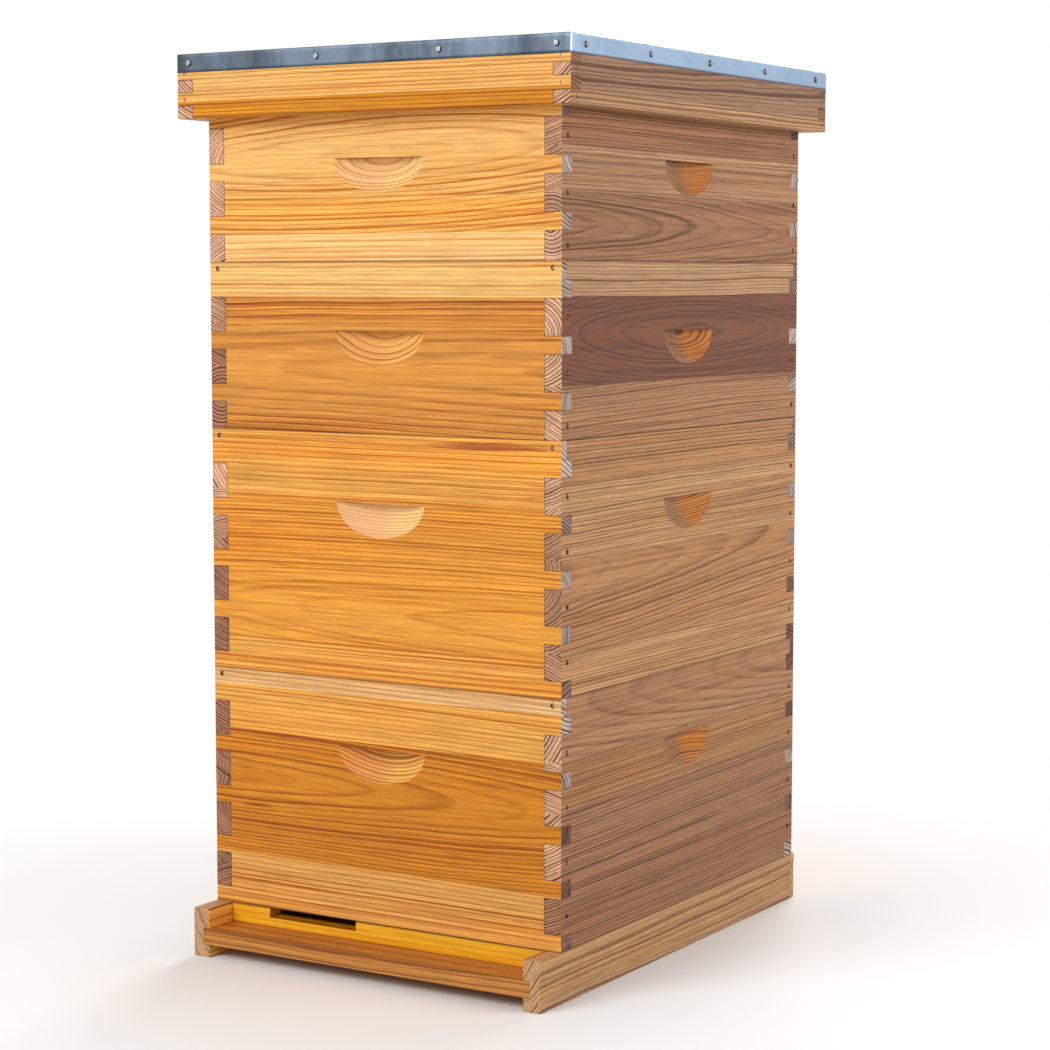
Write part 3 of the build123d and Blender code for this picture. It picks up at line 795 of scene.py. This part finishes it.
# Lit and shaded copies of one zinc, chosen by which way the sheet faces: painted light, shade and reflection.
ZINC_TOP_SHADED = paint(136, 148, 160)
ZINC_SIDE_LIT = paint(150, 173, 197)  # on the left and right, lighter: painted light and reflection
ZINC_END_SHADED = paint(88, 100, 113)  # on the front and back, darker: painted shade and reflection
# Painted highlight on the rounded corners.
ZINC_CORNER_HIGHLIGHT = paint(244, 246, 248)
# Painted shade along the fold at the top edge.
ZINC_FOLD_SHADE = paint(66, 76, 88)
LEVEL = (0.97, 1.0)  # how squarely the flat top faces up, against the folds round it


def galvanised():
    """Zinc sheet, cold blue-grey, with its light painted in by facing: painted shade on its front and back
    ends and top, a painted highlight on its corners, painted shade along its folds, and streaks that are
    partly mottling and partly painted reflection, strongest on the ends.
    """
    material, g, shader = new_material("galvanised_sheet")
    coordinates = g.add("ShaderNodeTexCoord").outputs
    place, normal = coordinates["Object"], g.split(coordinates["Normal"])
    x, y, z = (g.size(component) for component in normal)
    # Painted light by facing: lighter on the sides, darker on the ends.
    end = g.fade(y, 0.4, 0.9)
    colour = g.mix(g.fade(x, 0.4, 0.9), ZINC_TOP_SHADED, ZINC_SIDE_LIT)
    colour = g.mix(end, colour, ZINC_END_SHADED)
    # Painted highlight on the corners.
    colour = g.mix(g.fade(g.math("MINIMUM", x, y), 0.30, 0.62), colour, ZINC_CORNER_HIGHLIGHT)
    # Painted shade along the fold between the lips and the top.
    fold = g.times(g.fade(z, 0.25, 0.55), g.fade(z, 0.97, 0.85))
    colour = g.mix(g.times(fold, 0.7), colour, ZINC_FOLD_SHADE)
    spangle = g.split(g.add("ShaderNodeTexVoronoi", {"Vector": place, "Scale": 220.0}).outputs["Color"])
    x_place, y_place, z_place = g.split(place)
    drawn_down = g.combine(g.times(x_place, 15.0), g.times(y_place, 15.0), g.times(z_place, 4.0))
    # Streaks, partly mottled zinc and partly painted reflection, strongest on the front and back ends.
    mottle_and_reflection = g.swing(g.fade(g.noise(drawn_down, 5.0, 0.68), 0.38, 0.64))
    mottling_and_reflections = g.times(mottle_and_reflection, g.choose(end, 0.06, 0.40))
    g.feed(shader.inputs["Base Color"], g.shade(colour, g.plus(1.0, g.swing(spangle[0], 0.03), mottling_and_reflections)))
    g.feed(shader.inputs["Metallic"], g.fade(z, *LEVEL, 0.9, 0.3))
    roughness = g.plus(0.42, g.swing(spangle[1], 0.05), g.swing(g.noise(place, 2.0, 0.5, 30.0), 0.10))
    g.feed(shader.inputs["Roughness"], g.plus(roughness, g.fade(z, *LEVEL, 0.0, 0.30)))
    bump(g, shader, g.noise(place, 2.0, 0.5, 60.0), 0.15 * MM, 0.4)
    return material


# Painted shade round the rim of each head.
PAINTED_RIM_SHADE = paint(46, 44, 44)
HEAD_RIM = (0.86, 0.97)  # how squarely a head's surface faces along its shank, from its rim inwards
RUST_EDGE = 0.2  # how gradually patches of rust end


def steel(name, clean, rusted, rust_start):
    """Plated steel, with painted shade round the rim of each head, and rust in patches."""
    material, g, shader = new_material(name)
    coordinates = g.add("ShaderNodeTexCoord").outputs
    place, normal = coordinates["Object"], g.split(coordinates["Normal"])
    rust = g.fade(g.noise(place, 3.0, 0.6, 420.0), rust_start, rust_start + RUST_EDGE)
    straight = g.math("MAXIMUM", g.size(normal["X"]), g.size(normal["Y"]))
    plated = g.mix(g.fade(straight, *HEAD_RIM), PAINTED_RIM_SHADE, paint(*clean))
    g.feed(shader.inputs["Base Color"], g.mix(rust, plated, paint(*rusted)))
    g.feed(shader.inputs["Metallic"], g.math("MULTIPLY_ADD", rust, -0.5, 0.95))
    g.feed(shader.inputs["Roughness"], g.math("MULTIPLY_ADD", rust, 0.3, 0.30))
    bump(g, shader, g.noise(place, 2.0, 0.5, 900.0), 0.05 * MM)
    return material


def beeswax():
    """Yellow wax that lets some light in, bloomed paler in places."""
    material, g, shader = new_material("wax_foundation")
    place = g.add("ShaderNodeTexCoord").outputs["Object"]
    bloom = g.fade(g.noise(place, 3.0, 0.55, 22.0), 0.40, 0.75)
    colour = g.mix(bloom, paint(236, 184, 72), paint(246, 208, 120))
    tone = g.plus(1.0, g.swing(g.noise(place, 2.0, 0.5, 160.0), 0.06))
    g.feed(shader.inputs["Base Color"], g.shade(colour, tone))
    g.feed(shader.inputs["Subsurface Weight"], 0.2)
    g.feed(shader.inputs["Subsurface Radius"], (3 * MM, 2 * MM, 1 * MM))
    g.feed(shader.inputs["Roughness"], g.math("MULTIPLY_ADD", bloom, 0.2, 0.38))
    bump(g, shader, g.noise(place, 2.0, 0.5, 500.0), 0.1 * MM)
    return material


GALVANISED = galvanised()
NAIL_STEEL = steel("nail_steel", (190, 160, 138), (96, 58, 38), 0.46)
SCREW_STEEL = steel("screw_steel", (176, 178, 180), (120, 90, 70), 0.60)
WAX = beeswax()


def dress_metal_and_wax():
    dress("outer_cover_screws", SCREW_STEEL)
    dress("outer_cover_nails", NAIL_STEEL)
    dress("bottom_board_nails", NAIL_STEEL)
    for box in BOXES:
        dress(f"{box}_nails", NAIL_STEEL)
        dress(f"{box}_frame_rests", GALVANISED)
        dress(f"{box}_foundations", WAX)


# ---- Pieces of this scene that stand for a CAD node ----


def new_piece(name, vertices, faces, material, body, slot, node, smooth=False):
    """A piece that rides on a body and replaces a node."""
    mesh = bpy.data.meshes.new(name)
    mesh.from_pydata(vertices, [], faces)
    mesh.materials.append(material)
    mesh.polygons.foreach_set("use_smooth", [smooth] * len(mesh.polygons))
    piece = bpy.data.objects.new(name, mesh)
    bpy.context.scene.collection.objects.link(piece)
    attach(piece, body)
    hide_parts(node)
    return piece


SHEET_THICKNESS = 0.6 * MM
FOLD_RADIUS = 1.6 * MM
CORNER_RADIUS = 2.0 * MM
TOP_BORDER = 0.98  # the flat of the top as a share of the whole
FOLD_STEPS = 5
CORNER_STEPS = 4
RUN_STEPS = 48
LIP_ROWS = 6
LIP_BOW = 0.45 * MM
SWAY_RATES = (9, 30)  # of the waves in the lips, in radians a metre
SWAY_COUNT = 3


def arc(centre, radius, start, steps):
    """Points and outward directions over a quarter turn from start, in degrees."""
    for step in range(steps + 1):
        angle = math.radians(start + 90 * step / steps)
        outward = Vector((math.cos(angle), math.sin(angle)))
        yield centre + outward * radius, outward


def rounded_outline(low, high, radius):
    """The cover's outline seen from above, with steps along each run between its rounded corners."""
    corners = (
        (Vector((high.x - radius, high.y - radius)), 0),
        (Vector((low.x + radius, high.y - radius)), 90),
        (Vector((low.x + radius, low.y + radius)), 180),
        (Vector((high.x - radius, low.y + radius)), 270),
    )
    turns = [list(arc(centre, radius, start, CORNER_STEPS)) for centre, start in corners]
    outline = []
    for turn, following in zip(turns, turns[1:] + turns[:1]):
        outline += [(point, outward, 0.0) for point, outward in turn]
        start, end = turn[-1][0], following[0][0]
        for step in range(1, RUN_STEPS):
            share = step / RUN_STEPS
            outline.append((start.lerp(end, share), turn[-1][1], math.sin(math.pi * share)))
    return outline


def lip_rows(foot, top):
    """Rows of the sheet from its lower edge to the end of its fold: inset, height and looseness."""
    fold = top - FOLD_RADIUS
    rows = []
    for row in range(LIP_ROWS):
        share = row / LIP_ROWS
        rows.append((0.0, foot + (fold - foot) * share, 1 - share))
    for step in range(FOLD_STEPS + 1):
        angle = math.radians(90 * step / FOLD_STEPS)
        rows.append((FOLD_RADIUS * (1 - math.cos(angle)), top - FOLD_RADIUS * (1 - math.sin(angle)), 0.0))
    return rows


def ring_faces(lower, upper, count):
    """The faces between two rings of count vertices, whose first ones are lower and upper."""
    turns = [(step, (step + 1) % count) for step in range(count)]
    return [(lower + step, lower + following, upper + following, upper + step) for step, following in turns]


def cover_sheet():
    """A sheet folded down over the rim. Its lips bow out a little between their screws."""
    node = "outer_cover_sheet"
    low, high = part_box(node)
    chance = random.Random(5)
    waves = [(chance.uniform(*SWAY_RATES), chance.uniform(0, 6)) for _ in range(SWAY_COUNT)]
    outline = rounded_outline(low, high, CORNER_RADIUS)
    count = len(outline)
    rows = lip_rows(low.z, high.z)
    vertices = []
    for inset, height, looseness in rows:
        for point, outward, middle in outline:
            sway = sum(math.sin(rate * (point.x - point.y) + phase) for rate, phase in waves) / SWAY_COUNT
            bow = LIP_BOW * looseness * middle * (1 + sway) / 2
            flat = point + outward * (bow - inset)
            vertices.append((flat.x, flat.y, height))
    top = (len(rows) - 1) * count
    middle = Vector(((low.x + high.x) / 2, (low.y + high.y) / 2, high.z))
    vertices += [tuple(middle.lerp(Vector(vertex), TOP_BORDER)) for vertex in vertices[top:]]
    vertices.append(tuple(middle))
    faces = []
    for row in range(len(rows)):
        faces += ring_faces(row * count, (row + 1) * count, count)
    rim = top + count
    faces += [(rim + step, rim + (step + 1) % count, rim + count) for step in range(count)]
    look = (GALVANISED, "outer_cover", "galvanised_sheet")
    piece = new_piece("cover_sheet", vertices, faces, *look, node, smooth=True)
    thickness = piece.modifiers.new("thickness", "SOLIDIFY")
    thickness.thickness = SHEET_THICKNESS
    thickness.offset = -1


CELL = 5.4 * MM  # across the flats of one cell
CELL_POINT = CELL / math.sqrt(3)  # from its middle to a corner
ROW_RISE = 1.5 * CELL_POINT
WALL_RISE = 1.5 * MM  # from the middle of the sheet
PIT_RISE = 0.45 * MM
SHEET_RISE = 0.4 * MM


def cell_places(low, high):
    """The middles of the cells that fit in a sheet, in rows of which every second is shifted."""
    rows = int((high.z - low.z - 2 * CELL_POINT) / ROW_RISE) + 1
    columns = int((high.y - low.y - 1.5 * CELL) / CELL) + 1
    foot = (low.z + high.z - (rows - 1) * ROW_RISE) / 2
    start = (low.y + high.y - (columns - 0.5) * CELL) / 2
    for row in range(rows):
        for column in range(columns):
            yield start + (column + row % 2 / 2) * CELL, foot + row * ROW_RISE


def comb_foundation(box):
    """A wax sheet pressed with rows of six-sided pits on both faces."""
    node = f"{box}_lift_frame_foundation"
    low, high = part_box(node)
    middle = (low.x + high.x) / 2
    vertices, faces, corners = [], [], {}

    def corner(side, y, z):
        """A corner of a cell, which neighbouring cells share."""
        key = (side, round(y / MM, 2), round(z / MM, 2))
        if key not in corners:
            corners[key] = len(vertices)
            vertices.append((middle + side * WALL_RISE, y, z))
        return corners[key]

    turns = [math.radians(60 * step + 30) for step in range(6)]
    points = [(CELL_POINT * math.cos(turn), CELL_POINT * math.sin(turn)) for turn in turns]
    for side in (-1, 1):
        for y, z in cell_places(low, high):
            pit = len(vertices)
            vertices.append((middle + side * PIT_RISE, y, z))
            rim = [corner(side, y + across, z + up) for across, up in points]
            for first, second in zip(rim, rim[1:] + rim[:1]):
                faces.append((pit, first, second) if side > 0 else (pit, second, first))
    first = len(vertices)
    for x in (middle - SHEET_RISE, middle + SHEET_RISE):
        vertices += [(x, low.y, low.z), (x, high.y, low.z), (x, high.y, high.z), (x, low.y, high.z)]
    sheet = [(3, 2, 1, 0), (4, 5, 6, 7), (0, 1, 5, 4), (1, 2, 6, 5), (2, 3, 7, 6), (3, 0, 4, 7)]
    faces += [tuple(first + index for index in face) for face in sheet]
    new_piece(f"{box}_comb_foundation", vertices, faces, WAX, f"{box}_lift_frame", "wax_foundation", node)


# ---- Stage ----

CAMERA_PLACE = Vector((1.4335, -2.3170, 0.6865))
CAMERA_TURN = 31.45  # degrees about +Z
CAMERA_DIP = 5.39  # degrees below level
LENS = 88.54  # millimetres, as is the sensor's width
SENSOR = 36.0
SKY_LEVEL = 0.42
FLOOR_REACH = 12.0
SHADOW_FADE = (0.38, 0.95)  # distances between which the floor turns into the white background
WHITE = (1, 1, 1, 1)
HIVE_MIDDLE = Vector((0, 0, 0.45))

# Each lamp's place, diameter and power in watts.
LAMPS = {
    "key": ((-1.2, -3.35, 2.6), 2.4, 90),
    "side": ((3.4, 1.0, 1.8), 2.2, 49),
    "back": ((-0.5, 3.5, 2.4), 2.4, 100),
}


def add_camera():
    data = bpy.data.cameras.new("camera")
    data.sensor_width = SENSOR
    data.lens = LENS
    camera = bpy.data.objects.new("camera", data)
    camera.location = CAMERA_PLACE
    camera.rotation_euler = (math.radians(90 - CAMERA_DIP), 0, math.radians(CAMERA_TURN))
    bpy.context.scene.collection.objects.link(camera)
    bpy.context.scene.camera = camera


def add_lamp(name, place, size, power):
    """A round soft lamp that faces the middle of the hive."""
    data = bpy.data.lights.new(name, "AREA")
    data.shape = "DISK"
    data.size = size
    data.energy = power
    lamp = bpy.data.objects.new(name, data)
    lamp.location = place
    lamp.rotation_euler = (HIVE_MIDDLE - lamp.location).to_track_quat("-Z", "Y").to_euler()
    bpy.context.scene.collection.objects.link(lamp)


def white_to_the_eye(g):
    """1 for rays from the camera, from metal and through glass, and 0 for light on the object."""
    rays = g.add("ShaderNodeLightPath").outputs
    seen = g.math("MAXIMUM", rays["Is Camera Ray"], rays["Is Glossy Ray"])
    return g.math("MAXIMUM", seen, rays["Is Transmission Ray"])


def light_world():
    world = bpy.data.worlds.new("studio")
    world.use_nodes = True
    bpy.context.scene.world = world
    g = Graph(world.node_tree)
    background = world.node_tree.nodes["Background"]
    g.feed(background.inputs["Color"], WHITE)
    g.feed(background.inputs["Strength"], g.choose(white_to_the_eye(g), SKY_LEVEL, 1.0))


def add_floor():
    """A white floor that keeps the shadow near the hive and fades into the background."""
    mesh = bpy.data.meshes.new("floor")
    corners = [(x * FLOOR_REACH, y * FLOOR_REACH, 0) for x, y in ((-1, -1), (1, -1), (1, 1), (-1, 1))]
    mesh.from_pydata(corners, [], [(0, 1, 2, 3)])
    floor = bpy.data.objects.new("floor", mesh)
    bpy.context.scene.collection.objects.link(floor)
    material, g, shader = new_material("floor_white")
    g.feed(shader.inputs["Base Color"], (0.95, 0.95, 0.95, 1))
    g.feed(shader.inputs["Roughness"], 0.9)
    g.feed(shader.inputs["Specular IOR Level"], 0.1)
    glow = g.add("ShaderNodeEmission", {"Color": WHITE, "Strength": 1.0})
    place = g.split(g.add("ShaderNodeTexCoord").outputs["Object"])
    distance = g.math("SQRT", g.plus(g.times(place["X"], place["X"]), g.times(place["Y"], place["Y"])))
    far = g.times(g.fade(distance, *SHADOW_FADE), white_to_the_eye(g))
    blend = g.add("ShaderNodeMixShader", {0: far, 1: shader.outputs[0], 2: glow.outputs[0]})
    g.feed(material.node_tree.nodes["Material Output"].inputs["Surface"], blend.outputs[0])
    mesh.materials.append(material)


def set_stage():
    add_camera()
    add_floor()
    light_world()
    for name, lamp in LAMPS.items():
        add_lamp(name, *lamp)
    bpy.context.scene.view_settings.view_transform = "Standard"


dress_boxes()
dress_cover_and_base()
dress_frames()
dress_metal_and_wax()
cover_sheet()
for box in BOXES:
    comb_foundation(box)
set_stage()
